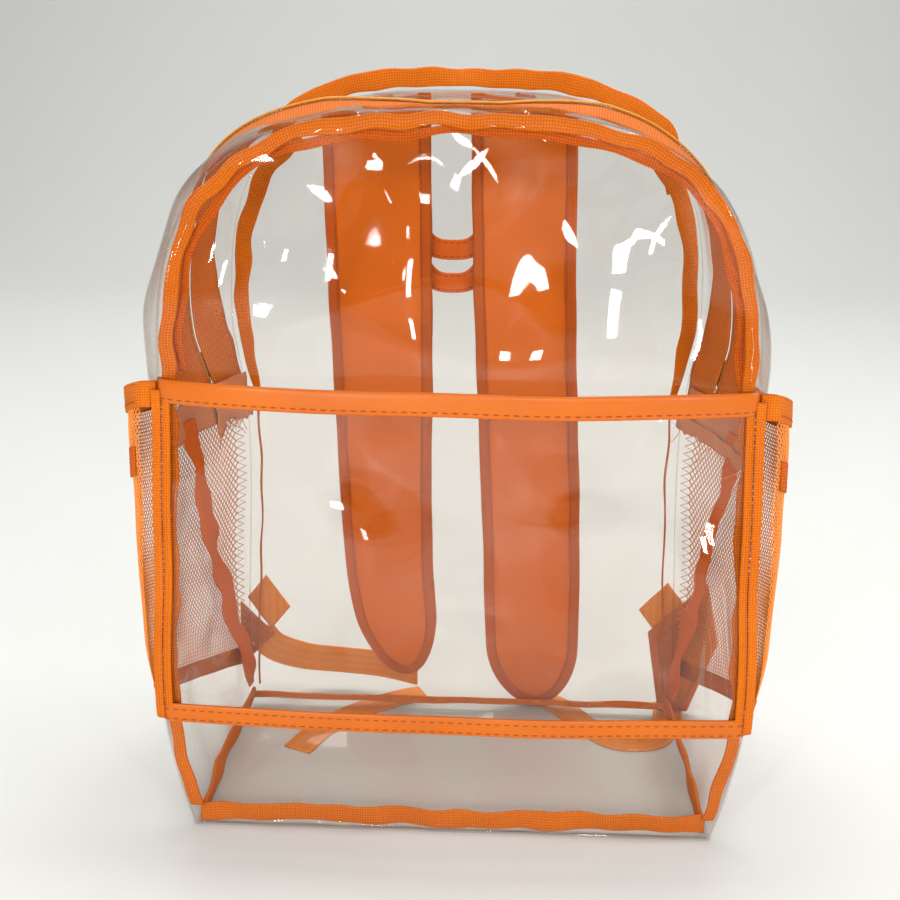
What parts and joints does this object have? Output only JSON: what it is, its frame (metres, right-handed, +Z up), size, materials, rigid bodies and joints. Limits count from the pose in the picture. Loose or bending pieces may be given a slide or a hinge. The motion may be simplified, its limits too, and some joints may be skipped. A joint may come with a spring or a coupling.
{
  "type": "clear backpack",
  "caption": "Clear vinyl backpack with orange woven trim, front pocket, net side pockets, arched zip, grab handle and padded shoulder straps, standing upright.",
  "frame": {"origin": "middle of the footprint's bounding box, on the ground", "axes": "+Z up along the bag's height, front facing -Y, shoulder straps on +Y, +X to the right seen from the front"},
  "size_m": [0.377, 0.203, 0.4297],
  "materials": {
    "clear_vinyl": "clear, glossy, slightly wavy vinyl sheet",
    "orange_tape": "woven polyester tape",
    "orange_vinyl": "smooth, satin vinyl strip",
    "orange_nylon": "padded woven nylon",
    "orange_net": "open diamond net",
    "zip_coil": "nylon coil",
    "grey_metal": "smooth grey metal"
  },
  "bodies": {
    "bag": {"front_panel": "clear_vinyl", "back_panel": "clear_vinyl", "bottom_panel": "clear_vinyl", "gusset_front_strip": "clear_vinyl", "gusset_rear_strip": "clear_vinyl", "side_gusset_left": "clear_vinyl", "side_gusset_right": "clear_vinyl", "pocket_panel": "clear_vinyl", "zip_tape_front": "orange_tape", "zip_tape_rear": "orange_tape", "zip_end_band_left": "orange_tape", "zip_end_band_right": "orange_tape", "front_seam_binding": "orange_tape", "back_seam_binding_left": "orange_tape", "back_seam_binding_right": "orange_tape", "top_seam_binding": "orange_tape", "front_bottom_binding": "orange_tape", "back_bottom_binding": "orange_tape", "side_bottom_binding_left": "orange_tape", "side_bottom_binding_right": "orange_tape", "net_edge_band_left": "orange_tape", "net_edge_band_right": "orange_tape", "net_top_band_left": "orange_tape", "net_top_band_right": "orange_tape", "net_hem_left": "orange_tape", "net_hem_right": "orange_tape", "strap_binding_left": "orange_tape", "strap_binding_right": "orange_tape", "strap_webbing_left": "orange_tape", "webbing_tail_left": "orange_tape", "strap_webbing_right": "orange_tape", "anchor_tab_left": "orange_tape", "anchor_tab_right": "orange_tape", "webbing_end_left": "orange_tape", "webbing_end_right": "orange_tape", "pocket_top_binding": "orange_vinyl", "pocket_bottom_strip": "orange_vinyl", "shoulder_strap_left": "orange_nylon", "shoulder_strap_right": "orange_nylon", "grab_handle_inner": "orange_nylon", "grab_handle_outer": "orange_nylon", "net_pocket_left": "orange_net", "net_pocket_right": "orange_net", "zip_coil": "zip_coil", "zip_slider": "grey_metal"},
    "pull": {"zip_pull": "grey_metal"}
  },
  "joints": [
    {"name": "zip_pull_swing", "type": "hinge", "parent": "bag", "child": "pull", "pos_m": [-0.16335, 0.0379, 0.24526], "axis": [-0.3503, -0.9343, -0.0656], "range_deg": [0, 14]}
  ]
}
